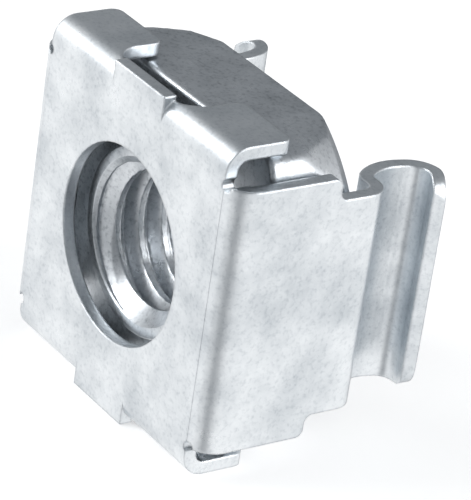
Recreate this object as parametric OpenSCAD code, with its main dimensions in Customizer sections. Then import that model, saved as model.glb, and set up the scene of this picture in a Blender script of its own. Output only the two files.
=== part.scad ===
// Cage nut for square-hole equipment rails: a square M6 nut held loosely in a
// folded spring-steel cage whose two legs snap into the rail's square hole.
// X runs across the two legs, Y along the screw and Z up. The origin is on the
// screw's axis, in the plane of the shoulders that bear on the rail.

/* [Nut] */
// Width of the square nut across its flats
nut_w = 11.7; // [11.4:0.1:12.2]
// Thickness of the square body of the nut
nut_body_t = 3.7; // [3.0:0.1:4.2]
// Radius of the upright edges of the nut
nut_edge_r = 1.0; // [0.5:0.1:1.6]
// Core diameter of the M6 thread
bore_d = 5.0; // [4.8:0.05:5.2]
// Diameter of the countersink at each end of the thread
countersink_d = 6.2; // [5.8:0.1:6.6]
// Diameter of the round collar on the front of the nut
collar_d = 7.1; // [6.9:0.1:8.0]
// Height of the collar above the body of the nut
collar_h = 1.0; // [0.6:0.1:1.4]
// Radius of the turned envelope where it cuts the rear corners
turned_r = 7.1; // [6.8:0.1:7.4]
// Angle of the turned rear corners to the screw's axis
turned_angle = 20; // [12:1:30]
// Rounding between the turned corners and the rear face
turned_round = 0.6; // [0.3:0.1:0.9]

/* [Play of the nut in the cage] */
// Play between the nut and each side wall
side_play = 0.25; // [0.1:0.05:0.4]
// Play between the nut and the lugs, all of it above the nut
lug_play = 0.1; // [0.05:0.05:0.3]
// Gap between the collar and the front plate
front_gap = 0.4; // [0.2:0.05:0.6]
// Gap between the rear face of the nut and the shoulders
rear_gap = 0.5; // [0.2:0.05:0.8]

/* [Rail] */
// Side of the square hole in the rail
rail_hole_w = 9.5; // [9.2:0.1:9.8]
// How far each leg stands wide of the hole before it is pressed in
leg_grip = 0.18; // [0.05:0.01:0.3]
// Play between the height of a leg and the height of the hole
leg_play = 1.0; // [0.6:0.1:1.6]

/* [Sheet and plate] */
// Thickness of the spring-steel sheet
sheet_t = 0.5; // [0.4:0.05:0.6]
// Diameter of the round hole in the front plate
plate_hole_d = 7.4; // [7.1:0.1:8.4]
// Inside radius of the bends from the plate into the walls
wall_bend_r = 0.55; // [0.3:0.05:0.7]
// Radius of the relief cut at each corner of the plate
relief_r = 0.22; // [0.18:0.02:0.3]

/* [Walls] */
// Height of the side walls
wall_h = 10.2; // [9.6:0.1:10.4]
// Distance from the shoulder plane forward to the step in the walls
step_back = 2.25; // [1.8:0.05:2.8]
// Radius of the two curves of the step
step_r = 0.32; // [0.2:0.02:0.4]

/* [Lugs] */
// Inside radius of the bends from the plate into the lugs
lug_bend_r = 0.4; // [0.3:0.05:0.6]
// Distance from the front of the plate to the rear edge of the lugs
lug_depth = 2.65; // [2.2:0.05:3.2]
// Width of the straight lip between two lugs
lip_w = 3.2; // [2.6:0.1:4.0]
// How far the lip stands above the lugs
lip_rise = 0.1; // [0.0:0.05:0.2]
// Radius of the inner corners of the notch behind the lip
notch_r = 0.95; // [0.7:0.05:1.1]
// Gap between the side of a lug and the inside of the wall
lug_wall_gap = 0.4; // [0.3:0.05:0.7]
// Radius of the rear corners of the lugs
lug_corner_r = 0.4; // [0.2:0.05:0.8]

/* [Legs] */
// Inside radius of the bend at the shoulder
shoulder_bend_r = 0.4; // [0.3:0.05:0.5]
// Lean of the leg towards the screw where it leaves the shoulder
leg_lean = 40; // [34:1:46]
// Inside radius of the tight bend from the shoulder into the leg
root_bend_r = 0.1; // [0.1:0.02:0.2]
// Inside radius of the long bow of the neck
neck_bow_r = 1.7; // [1.4:0.05:2.0]
// Outward lean of the leg behind the neck
leg_splay = 17; // [10:1:24]
// Straight stretch between the neck and the curl
neck_l = 0.2; // [0.1:0.05:0.5]
// Inside radius of the curl at the end of the leg
curl_r = 0.6; // [0.45:0.05:0.8]
// Turn of the curl
curl_angle = 94; // [80:1:105]
// Straight lip at the end of the curl
tip_l = 0.55; // [0.3:0.05:0.9]
// Radius of the two corners of the tip
tip_corner_r = 1.0; // [0.6:0.1:1.4]

/* [Hidden] */
$fn = 96;

// The cage is sized round the nut, and the legs round the rail's hole
cage_w = nut_w + 2 * side_play + 2 * sheet_t;
lug_z = (nut_w + lug_play) / 2 + sheet_t;
lip_z = lug_z + lip_rise;
leg_h = rail_hole_w - leg_play;

// Depths are counted from the front of the plate
collar_y = sheet_t + front_gap;
nut_front_y = collar_y + collar_h;
nut_rear_y = nut_front_y + nut_body_t;
shoulder_y = nut_rear_y + rear_gap + sheet_t;
step_y = shoulder_y - step_back;

wall_bend_out_r = wall_bend_r + sheet_t;
lug_bend_out_r = lug_bend_r + sheet_t;
shoulder_out_r = shoulder_bend_r + sheet_t;
plate_x = cage_w / 2 - wall_bend_out_r;
plate_z = lug_z - lug_bend_out_r;
lip_x = lip_w / 2;
lug_side_x = cage_w / 2 - sheet_t - lug_wall_gap;

// The straight part of the shoulder puts the neck where the rail's hole needs it
neck_x = rail_hole_w / 2 + leg_grip;
root_x = neck_x + root_bend_r * cos(leg_lean) + neck_bow_r * (1 - cos(leg_lean));
shoulder_l = cage_w / 2 - shoulder_out_r - root_x;
wall_l = shoulder_y - shoulder_out_r - wall_bend_out_r;

// Each row is one straight stretch, the turn that follows it and its inside radius
LEG_PATH = [
    [plate_x, 90, wall_bend_r],
    [wall_l, 90, shoulder_bend_r],
    [shoulder_l, leg_lean - 90, root_bend_r],
    [0, -leg_lean - leg_splay, neck_bow_r],
    [neck_l, -curl_angle, curl_r],
    [tip_l, 0, 0]
];

// Where the tip of a leg ends, followed along the inner face of the leg
curl_end = curl_angle + leg_splay;
splay_x = neck_x - sheet_t + (neck_bow_r + sheet_t) * (1 - cos(leg_splay)) + neck_l * sin(leg_splay);
tip_x = splay_x + (curl_r + sheet_t) * (cos(leg_splay) - cos(curl_end)) + tip_l * sin(curl_end);
// More than a leg is long, for the outlines that trim it
leg_reach = cage_w;

// Part of a ring that starts below its centre and turns by the angle
module ring_sector(inner_r, angle) {
    far = 2 * (inner_r + sheet_t);
    intersection() {
        difference() {
            circle(r = inner_r + sheet_t);
            circle(r = inner_r);
        }
        polygon([
            [0, 0],
            far * [sin(0), -cos(0)],
            far * [sin(angle / 2), -cos(angle / 2)],
            far * [sin(angle), -cos(angle)]
        ]);
    }
}

// Section of the sheet along a path of straight stretches and bends, drawn from
// the outer face: left turns are positive
module sheet_path(path, i = 0) {
    if (i < len(path)) {
        length = path[i][0];
        turn = path[i][1];
        centre = turn > 0 ? path[i][2] + sheet_t : -path[i][2];
        if (length > 0)
            square([length, sheet_t]);
        translate([length, 0]) {
            if (turn > 0)
                translate([0, centre])
                    ring_sector(path[i][2], turn);
            if (turn < 0)
                translate([0, centre])
                    mirror([0, 1])
                        ring_sector(path[i][2], -turn);
            translate([0, centre])
                rotate(turn)
                    translate([0, -centre])
                        sheet_path(path, i + 1);
        }
    }
}

// Side view of a wall and its leg: the wall steps down to the leg's height
module wall_outline() {
    half_wall = wall_h / 2;
    half_leg = leg_h / 2;
    difference() {
        translate([0, -half_wall])
            square([step_y, wall_h]);
        for (side = [-1, 1])
            translate([step_y, side * half_wall])
                corner_cut(step_r, [-1, -side]);
    }
    translate([0, -half_leg])
        square([shoulder_y + leg_reach, leg_h]);
    for (side = [-1, 1])
        translate([step_y, side * half_leg])
            corner_cut(step_r, [1, side]);
}

// What a rounding of radius r takes off, or fills in, at a square corner
module corner_cut(r, into) {
    difference() {
        translate([min(0, into[0] * r), min(0, into[1] * r)])
            square(r);
        translate(r * into)
            circle(r = r);
    }
}

// One wall with its leg, folded from the plate
module wall_and_leg() {
    difference() {
        intersection() {
            linear_extrude(wall_h, center = true)
                sheet_path(LEG_PATH);
            rotate([90, 0, 90])
                linear_extrude(cage_w)
                    wall_outline();
        }
        tip_corners();
    }
}

// Rounds the two corners at the end of a leg
module tip_corners() {
    translate([0, shoulder_y + sheet_t, 0])
        rotate([-90, 0, 0])
            linear_extrude(leg_reach)
                for (side = [-1, 1])
                    translate([tip_x, side * leg_h / 2])
                        corner_cut(tip_corner_r, [-1, -side]);
}

// Plan of a lug with the rounded corner of the notch beside it
module lug_outline() {
    fillet_y = sheet_t + notch_r;
    side_x = lip_x + notch_r;
    difference() {
        union() {
            translate([lip_x, 0])
                square([lug_side_x - lip_x, fillet_y]);
            translate([side_x, 0])
                square([lug_side_x - side_x, lug_depth]);
        }
        translate([lip_x, fillet_y])
            circle(r = notch_r);
        translate([side_x, lug_depth])
            corner_cut(lug_corner_r, [1, -1]);
        translate([lug_side_x, lug_depth])
            corner_cut(lug_corner_r, [-1, -1]);
    }
}

// One lug, bent back from the plate over the nut
module lug() {
    intersection() {
        translate([lug_side_x, 0, 0])
            rotate([0, -90, 0])
                linear_extrude(lug_side_x)
                    sheet_path([[plate_z, 90, lug_bend_r], [lug_depth, 0, 0]]);
        linear_extrude(lug_z)
            lug_outline();
    }
}

// Flat part of the plate with the lips between the lugs
module plate() {
    translate([-plate_x, 0, -plate_z])
        cube([2 * plate_x, sheet_t, 2 * plate_z]);
    translate([-lip_x, 0, -lip_z])
        cube([lip_w, sheet_t, 2 * lip_z]);
}

// Copies a child to the mirrored sides of the cage
module both_sides(axis) {
    children();
    mirror(axis)
        children();
}

// Folded spring-steel cage, all one sheet
module cage() {
    color("gainsboro")
        translate([0, -shoulder_y, 0])
            difference() {
                union() {
                    plate();
                    both_sides([1, 0, 0])
                        wall_and_leg();
                    both_sides([1, 0, 0])
                        both_sides([0, 0, 1])
                            lug();
                }
                rotate([-90, 0, 0])
                    cylinder(d = plate_hole_d, h = 4 * sheet_t, center = true);
                for (x = [-1, 1], z = [-1, 1])
                    translate([x * (plate_x + relief_r), 0, z * wall_h / 2])
                        rotate([-90, 0, 0])
                            cylinder(r = relief_r, h = 2 * wall_bend_out_r, center = true);
            }
}

// Turned form of the nut, which cuts its rear corners
module turned_envelope() {
    rise = nut_body_t * tan(turned_angle);
    rotate([-90, 0, 0])
        rotate_extrude()
            polygon([
                [0, nut_front_y],
                [turned_r + rise, nut_front_y],
                [turned_r, nut_rear_y - turned_round],
                [turned_r - turned_round, nut_rear_y],
                [0, nut_rear_y]
            ]);
}

// Square body with rounded upright edges and turned rear corners
module nut_body() {
    half = nut_w / 2;
    intersection() {
        translate([0, nut_front_y, 0])
            rotate([-90, 0, 0])
                linear_extrude(nut_body_t)
                    difference() {
                        square(nut_w, center = true);
                        for (x = [-1, 1], z = [-1, 1])
                            translate([x * half, z * half])
                                corner_cut(nut_edge_r, [-x, -z]);
                    }
        turned_envelope();
    }
}

// Core of the thread with a countersink at each end
module threaded_bore() {
    sink = (countersink_d - bore_d) / 2;
    length = nut_rear_y - collar_y;
    translate([0, collar_y, 0])
        rotate([-90, 0, 0]) {
            translate([0, 0, -sink])
                cylinder(d = bore_d, h = length + 2 * sink);
            translate([0, 0, -sink])
                cylinder(d1 = countersink_d + 2 * sink, d2 = bore_d, h = 2 * sink);
            translate([0, 0, length - sink])
                cylinder(d1 = bore_d, d2 = countersink_d + 2 * sink, h = 2 * sink);
        }
}

// Square nut, lying on the two lower lugs
module square_nut() {
    color("silver")
        translate([0, -shoulder_y, -lug_play / 2])
            difference() {
                union() {
                    nut_body();
                    translate([0, collar_y, 0])
                        rotate([-90, 0, 0])
                            cylinder(d = collar_d, h = collar_h + sheet_t);
                }
                threaded_bore();
            }
}

cage();
square_nut();
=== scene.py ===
# %% [markdown]
# # Rack cage nut
#
# A rack cage nut is a square nut held loosely in a folded spring-steel cage. The cage snaps into a square
# hole of an equipment rail, and the nut gives the screw something to pull on.
#
# The frame brings both pieces in at their real size, in metres. The cage is shown as it comes, with a better
# material. The nut is made again here, because its screw thread is too fine for the frame's solids.

# %% Load the frame
import math

import bmesh
import bpy
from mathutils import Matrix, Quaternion, Vector


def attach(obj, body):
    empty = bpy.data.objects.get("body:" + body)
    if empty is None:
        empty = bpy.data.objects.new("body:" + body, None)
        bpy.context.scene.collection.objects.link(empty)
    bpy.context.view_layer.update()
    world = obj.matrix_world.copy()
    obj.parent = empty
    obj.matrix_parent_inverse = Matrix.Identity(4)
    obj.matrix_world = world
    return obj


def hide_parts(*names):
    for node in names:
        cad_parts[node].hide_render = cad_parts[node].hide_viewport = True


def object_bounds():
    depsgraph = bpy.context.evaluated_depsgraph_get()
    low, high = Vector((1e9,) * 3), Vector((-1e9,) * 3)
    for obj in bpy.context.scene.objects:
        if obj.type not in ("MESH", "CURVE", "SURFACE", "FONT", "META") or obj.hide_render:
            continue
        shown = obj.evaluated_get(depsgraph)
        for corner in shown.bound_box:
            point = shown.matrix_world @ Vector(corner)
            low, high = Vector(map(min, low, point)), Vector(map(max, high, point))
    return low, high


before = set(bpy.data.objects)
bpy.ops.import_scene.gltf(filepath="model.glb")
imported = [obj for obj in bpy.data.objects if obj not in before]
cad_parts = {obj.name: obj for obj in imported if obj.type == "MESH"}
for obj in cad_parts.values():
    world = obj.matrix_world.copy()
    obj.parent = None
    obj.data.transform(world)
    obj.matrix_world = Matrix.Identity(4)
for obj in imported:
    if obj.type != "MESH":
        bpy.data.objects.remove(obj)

MM = 0.001
CAD_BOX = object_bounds()
print("CAD nodes:", sorted(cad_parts))

# %% [markdown]
# ## Colours, nodes and aiming
#
# Colours are written as sRGB hex, as on a paint card, but Blender mixes light in linear values, so one
# function turns them. A second one adds a node to a tree with its settings and its links in one call.

# %% Colour and node helpers
def linear(colour):
    values = [int(colour[i:i + 2], 16) / 255 for i in (1, 3, 5)]
    channels = [v / 12.92 if v <= 0.04045 else ((v + 0.055) / 1.055) ** 2.4 for v in values]
    return (*channels, 1.0)


def add(tree, kind, inputs=None, **settings):
    node = tree.nodes.new(kind)
    for name, value in settings.items():
        setattr(node, name, value)
    for name, value in (inputs or {}).items():
        if isinstance(value, bpy.types.NodeSocket):
            tree.links.new(value, node.inputs[name])
        else:
            node.inputs[name].default_value = value
    return node


print("white in linear light:", linear("#FFFFFF"))


# %% [markdown]
# The camera and the lamps are placed as a photographer would: by the angle round the object, the height above
# the horizon and the distance. Azimuth 0 is in front of the plate, and 90 is at its right.

# %% Aiming helpers
def direction(azimuth, elevation):
    a, e = math.radians(azimuth), math.radians(elevation)
    return Vector((math.sin(a) * math.cos(e), -math.cos(a) * math.cos(e), math.sin(e)))


def aim(obj, target, back, distance, roll=0.0):
    obj.rotation_mode = "QUATERNION"
    obj.location = target + back * distance
    obj.rotation_quaternion = (-back).to_track_quat("-Z", "Y") @ Quaternion((0, 0, 1), math.radians(roll))


print("front direction:", [round(v, 3) for v in direction(0, 0)])

# %% [markdown]
# ## Bright zinc plating
#
# Small steel parts like these are usually zinc plated in a barrel. That gives a pale, slightly blue metal.
# Its colour and its gloss drift in clouds a few millimetres across, with fine dark specks.
#
# The clouds and the specks are two noise textures whose scale comes from real sizes. A bevel node softens the
# light on the cut edges, and a shallow bump gives the pitted skin. Zinc is a metal, so Metallic is 1 and the
# IOR stays at its default.

# %% Zinc plating
CLOUD_SIZE = 2.4 * MM
SPECK_SIZE = 0.16 * MM
PIT_DEPTH = 0.012 * MM
CLOUD_SHARE = 0.55


def zinc_plating(name, pale, stained, smooth, rough, specks, edge):
    material = bpy.data.materials.new(name)
    material.use_nodes = True
    tree = material.node_tree
    tree.nodes.clear()
    place = add(tree, "ShaderNodeTexCoord").outputs["Object"]
    clouds = add(tree, "ShaderNodeTexNoise", {
        "Vector": place, "Scale": 1 / CLOUD_SIZE, "Detail": 5.0, "Roughness": 0.62,
    }).outputs["Fac"]
    grains = add(tree, "ShaderNodeTexNoise", {
        "Vector": place, "Scale": 1 / SPECK_SIZE, "Detail": 3.0, "Roughness": 0.6,
    }).outputs["Fac"]
    cloud = add(tree, "ShaderNodeMapRange", {"Value": clouds, "From Min": 0.36, "From Max": 0.68})
    speck = add(tree, "ShaderNodeMapRange", {
        "Value": grains, "From Min": 0.5, "From Max": 0.78, "To Max": specks,
    })
    stain = add(tree, "ShaderNodeMath", {0: cloud.outputs["Result"], 1: CLOUD_SHARE}, operation="MULTIPLY")
    marks = add(tree, "ShaderNodeMath", {
        0: stain.outputs[0], 1: speck.outputs["Result"],
    }, operation="ADD", use_clamp=True)
    colour = add(tree, "ShaderNodeMix", {
        0: marks.outputs[0], 6: linear(pale), 7: linear(stained),
    }, data_type="RGBA")
    gloss = add(tree, "ShaderNodeMapRange", {
        "Value": clouds, "From Min": 0.3, "From Max": 0.7, "To Min": smooth, "To Max": rough,
    })
    edges = add(tree, "ShaderNodeBevel", {"Radius": edge}, samples=6)
    skin = add(tree, "ShaderNodeBump", {
        "Strength": 0.5, "Distance": PIT_DEPTH, "Height": grains, "Normal": edges.outputs["Normal"],
    })
    metal = add(tree, "ShaderNodeBsdfPrincipled", {
        "Base Color": colour.outputs[2],
        "Metallic": 1.0,
        "Roughness": gloss.outputs["Result"],
        "Normal": skin.outputs["Normal"],
    })
    add(tree, "ShaderNodeOutputMaterial", {"Surface": metal.outputs["BSDF"]})
    return material


# %% [markdown]
# The cage is stamped from bright sheet, whose cut edges are a little rounded. The nut is darker, with more
# specks and crisper edges.

# %% Finishes of the two pieces
sheet_zinc = zinc_plating(
    "zinc_plated_spring_steel", "#F1F5F8", "#A9B1B8", smooth=0.26, rough=0.4, specks=0.35, edge=0.14 * MM)
nut_zinc = zinc_plating(
    "zinc_plated_nut_steel", "#E6EAEE", "#8B9298", smooth=0.24, rough=0.42, specks=0.5, edge=0.05 * MM)
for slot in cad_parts["cage"].material_slots:
    slot.material = sheet_zinc
print("materials:", sheet_zinc.name, nut_zinc.name)

# %% [markdown]
# ## Threaded square nut
#
# The real nut is cold formed, its rear corners are turned off on a cone, and its bore is tapped. A boolean
# cut of a helix can leave stray faces, so the nut is one closed skin instead. Rings of points run through the
# bore from the rear, over the collar and the front face, down the sides and back across the rear face.
#
# All sizes here are in millimetres. Y runs along the screw, and the nut lies a little below the screw's axis.

# %% Nut sizes
FRONT, SHOULDER, REAR = -5.7, -4.7, -1.0
NUT_Z = -0.05
HALF, CORNER = 5.85, 1.0
COLLAR_R, COLLAR_EDGE, COLLAR_ROOT = 3.55, 0.12, 0.15
FRONT_EDGE = 0.2
CORE_R, SINK_R = 2.5, 3.1
PITCH, THREAD_DEPTH = 1.0, 0.54
TURNED_R, TURNED_ANGLE, BREAK = 7.3, 20, 0.6
COLUMNS, BORE_STEPS, SIDE_STEP = 256, 150, 0.12
print("nut:", 2 * HALF, "mm square,", REAR - FRONT, "mm from collar to rear")


# %% [markdown]
# The side of the nut is the smaller of two shapes: the square with rounded corners, and the turned cone with
# its 45 degree edge at the rear. Where the two are within `SOFT` of each other they are blended, so the
# turned edge isn't knife sharp.

# %% Outline of the nut
SOFT = 0.12


def square_radius(angle):
    along, across = sorted((abs(math.cos(angle)), abs(math.sin(angle))), reverse=True)
    reach = HALF / along
    if reach * across <= HALF - CORNER:
        return reach
    lean = (HALF - CORNER) * (along + across)
    return lean + math.sqrt(lean**2 - 2 * (HALF - CORNER) ** 2 + CORNER**2)


def turned_radius(y):
    before = REAR - y
    if before >= BREAK:
        return TURNED_R + (before - BREAK) * math.tan(math.radians(TURNED_ANGLE))
    return TURNED_R - BREAK + before


def side_radius(angle, y):
    square, turned = square_radius(angle), turned_radius(y)
    mix = max(SOFT - abs(square - turned), 0) / SOFT
    return min(square, turned) - mix * mix * SOFT / 4


print("corner reach, mm:", round(square_radius(math.pi / 4), 2))


# %% [markdown]
# A screw thread moves forward by one pitch in each turn, so its depth depends only on the distance along the
# axis less the angle's share of a turn. Flats are left at the crest and the root, as on a standard metric
# thread. A 45 degree countersink opens each end.

# %% Threaded bore
# Half the groove's mouth and the width of one flank, as shares of the pitch.
HALF_THREAD, FLANK = 0.375, 0.3125


def bore_radius(angle, y):
    phase = ((y - FRONT) / PITCH - angle / math.tau) % 1
    depth = min(max((HALF_THREAD - abs(phase - 0.5)) / FLANK, 0), 1)
    return max(CORE_R + THREAD_DEPTH * depth, SINK_R - (y - FRONT), SINK_R - (REAR - y))


print("bore radius at the rear, mm:", bore_radius(0, REAR))


# %% [markdown]
# Each ring is a function from an angle to a radius and a place along the axis. Rounded edges are a few rings
# on a quarter circle.

# %% Rings of the nut
def bore_rings():
    places = [REAR + (FRONT - REAR) * i / BORE_STEPS for i in range(BORE_STEPS + 1)]
    return [lambda a, y=y: (bore_radius(a, y), y) for y in places]


def collar_rings():
    rings = []
    for t in (0, 30, 60, 90):
        r = COLLAR_R - COLLAR_EDGE + COLLAR_EDGE * math.sin(math.radians(t))
        y = FRONT + COLLAR_EDGE - COLLAR_EDGE * math.cos(math.radians(t))
        rings.append(lambda a, r=r, y=y: (r, y))
    for t in (0, 30, 60, 90):
        r = COLLAR_R + COLLAR_ROOT - COLLAR_ROOT * math.cos(math.radians(t))
        y = SHOULDER - COLLAR_ROOT + COLLAR_ROOT * math.sin(math.radians(t))
        rings.append(lambda a, r=r, y=y: (r, y))
    return rings


def front_rings():
    rings = []
    start = COLLAR_R + COLLAR_ROOT
    for t in (0.25, 0.5, 0.75):
        rings.append(lambda a, t=t: (start + t * (side_radius(a, SHOULDER) - FRONT_EDGE - start), SHOULDER))
    for t in (0, 22, 45, 67, 90):
        inset = FRONT_EDGE * (1 - math.sin(math.radians(t)))
        y = SHOULDER + FRONT_EDGE * (1 - math.cos(math.radians(t)))
        rings.append(lambda a, inset=inset, y=y: (side_radius(a, y) - inset, y))
    return rings


def side_rings():
    places = []
    y = SHOULDER + 0.3
    while y < REAR - BREAK - 0.05:
        places.append(y)
        y += SIDE_STEP
    places += [REAR - back for back in (BREAK + 0.06, BREAK, BREAK - 0.06, 0.4, 0.2, 0.06, 0.0)]
    return [lambda a, y=y: (side_radius(a, y), y) for y in places]


def rear_rings():
    rings = []
    for t in (0.02, 0.3, 0.6, 0.9):
        rings.append(lambda a, t=t: (side_radius(a, REAR) + t * (SINK_R - side_radius(a, REAR)), REAR))
    return rings


nut_rings = bore_rings() + collar_rings() + front_rings() + side_rings() + rear_rings()
print("rings:", len(nut_rings))


# %% [markdown]
# The last ring is joined to the first, so the skin has no open edge. Faces shade smoothly, apart from edges
# sharper than 38 degrees.

# %% Build the nut
SHARP_EDGE = 38


def closed_skin(name, rings):
    mesh = bmesh.new()
    grid = []
    for ring in rings:
        row = []
        for column in range(COLUMNS):
            angle = math.tau * column / COLUMNS
            r, y = ring(angle)
            point = (r * math.sin(angle) * MM, y * MM, (NUT_Z + r * math.cos(angle)) * MM)
            row.append(mesh.verts.new(point))
        grid.append(row)
    for here, after in zip(grid, grid[1:] + grid[:1]):
        for column in range(COLUMNS):
            ahead = (column + 1) % COLUMNS
            mesh.faces.new((here[column], here[ahead], after[ahead], after[column]))
    bmesh.ops.recalc_face_normals(mesh, faces=mesh.faces)
    data = bpy.data.meshes.new(name)
    mesh.to_mesh(data)
    mesh.free()
    obj = bpy.data.objects.new(name, data)
    bpy.context.scene.collection.objects.link(obj)
    data.shade_smooth()
    data.set_sharp_from_angle(angle=math.radians(SHARP_EDGE))
    return obj


nut = closed_skin("threaded_square_nut", nut_rings)
nut.data.materials.append(nut_zinc)
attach(nut, "root")
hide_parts("square_nut")
print("nut faces:", len(nut.data.polygons))

# %% [markdown]
# ## Surround
#
# Bright metal has little colour of its own and shows what is round it. The surround is grey, with two wide
# white patches low down: one at the front left, which the plate mirrors, and one at the back right, which
# the right wall mirrors. The lugs and the top of the nut mirror the grey above. The camera itself sees
# plain white.

# %% Surround
WHITE_PATCHES = ((-0.71, -0.54, -0.45), (0.71, 0.54, -0.45))


def surround():
    world = bpy.data.worlds.new("studio_surround")
    world.use_nodes = True
    tree = world.node_tree
    tree.nodes.clear()
    ray = add(tree, "ShaderNodeTexCoord").outputs["Generated"]
    glows = []
    for toward in WHITE_PATCHES:
        facing = add(tree, "ShaderNodeVectorMath", {0: ray, 1: toward}, operation="DOT_PRODUCT")
        glow = add(tree, "ShaderNodeMapRange", {
            "Value": facing.outputs["Value"], "From Min": 0.1, "From Max": 0.75,
        }, interpolation_type="SMOOTHSTEP")
        glows.append(glow.outputs["Result"])
    strongest = add(tree, "ShaderNodeMath", {0: glows[0], 1: glows[1]}, operation="MAXIMUM")
    shade = add(tree, "ShaderNodeMix", {
        0: strongest.outputs[0], 6: linear("#8A8D90"), 7: linear("#FFFFFF"),
    }, data_type="RGBA")
    seen = add(tree, "ShaderNodeLightPath").outputs["Is Camera Ray"]
    colour = add(tree, "ShaderNodeMix", {
        0: seen, 6: shade.outputs[2], 7: linear("#FFFFFF"),
    }, data_type="RGBA")
    light = add(tree, "ShaderNodeBackground", {"Color": colour.outputs[2], "Strength": 1.0})
    add(tree, "ShaderNodeOutputWorld", {"Surface": light.outputs["Background"]})
    bpy.context.scene.world = world


surround()
print("white patches:", len(WHITE_PATCHES))

# %% [markdown]
# ## Floor
#
# The floor is matt white paper at the lowest point of the object. A little glow that only the camera sees
# lifts it to white, and the object's shadow still shows on it. Reflections pass it by, so that the white
# patches below reach the metal.

# %% Floor
def studio_floor():
    bpy.ops.mesh.primitive_grid_add(
        x_subdivisions=2, y_subdivisions=2, size=1.2, location=(0, 0, CAD_BOX[0][2]))
    floor = bpy.context.object
    floor.name = "studio_floor"
    material = bpy.data.materials.new("white_paper_floor")
    material.use_nodes = True
    tree = material.node_tree
    tree.nodes.clear()
    seen = add(tree, "ShaderNodeLightPath").outputs["Is Camera Ray"]
    lift = add(tree, "ShaderNodeMath", {0: seen, 1: 0.45}, operation="MULTIPLY")
    paper = add(tree, "ShaderNodeBsdfPrincipled", {
        "Base Color": linear("#F4F4F4"),
        "Roughness": 0.9,
        "Specular IOR Level": 0.0,
        "Emission Color": linear("#FFFFFF"),
        "Emission Strength": lift.outputs[0],
    })
    add(tree, "ShaderNodeOutputMaterial", {"Surface": paper.outputs["BSDF"]})
    floor.data.materials.append(material)
    floor.visible_glossy = False
    return floor


floor = studio_floor()
print("floor at z, mm:", round(floor.location.z / MM, 2))

# %% [markdown]
# ## Soft boxes
#
# Two large, weak lamps close to the object give the shading a direction without hard shadows.

# %% Soft boxes
def softbox(name, azimuth, elevation, size=0.16, power=0.25, distance=0.25):
    lamp = bpy.data.lights.new(name, "AREA")
    lamp.size = size
    lamp.energy = power
    obj = bpy.data.objects.new(name, lamp)
    bpy.context.scene.collection.objects.link(obj)
    aim(obj, Vector((0, 0, 0)), direction(azimuth, elevation), distance)
    return obj


boxes = [softbox("soft_box_left", -35, 35), softbox("soft_box_right", 120, 30)]
print("soft boxes:", [box.name for box in boxes])

# %% [markdown]
# ## Camera
#
# The camera stands at the front right, a little above the object, and is rolled by a few degrees. The long
# lens keeps the small object large in the frame from a distance of 122 mm.

# %% Camera
AIM_POINT = Vector((0.553, -1.796, -0.749)) * MM
CAMERA_DISTANCE = 122.085 * MM
lens = bpy.data.cameras.new("camera")
lens.sensor_fit = "HORIZONTAL"
lens.sensor_width = 36
lens.lens = 258.36
lens.clip_start = 0.005
lens.clip_end = 10
camera = bpy.data.objects.new("camera", lens)
bpy.context.scene.collection.objects.link(camera)
aim(camera, AIM_POINT, direction(52.653, 26.704), CAMERA_DISTANCE, roll=8.605)
bpy.context.scene.camera = camera
bpy.context.scene.view_settings.view_transform = "Standard"
print("camera at", [round(v / MM, 1) for v in camera.location], "mm")
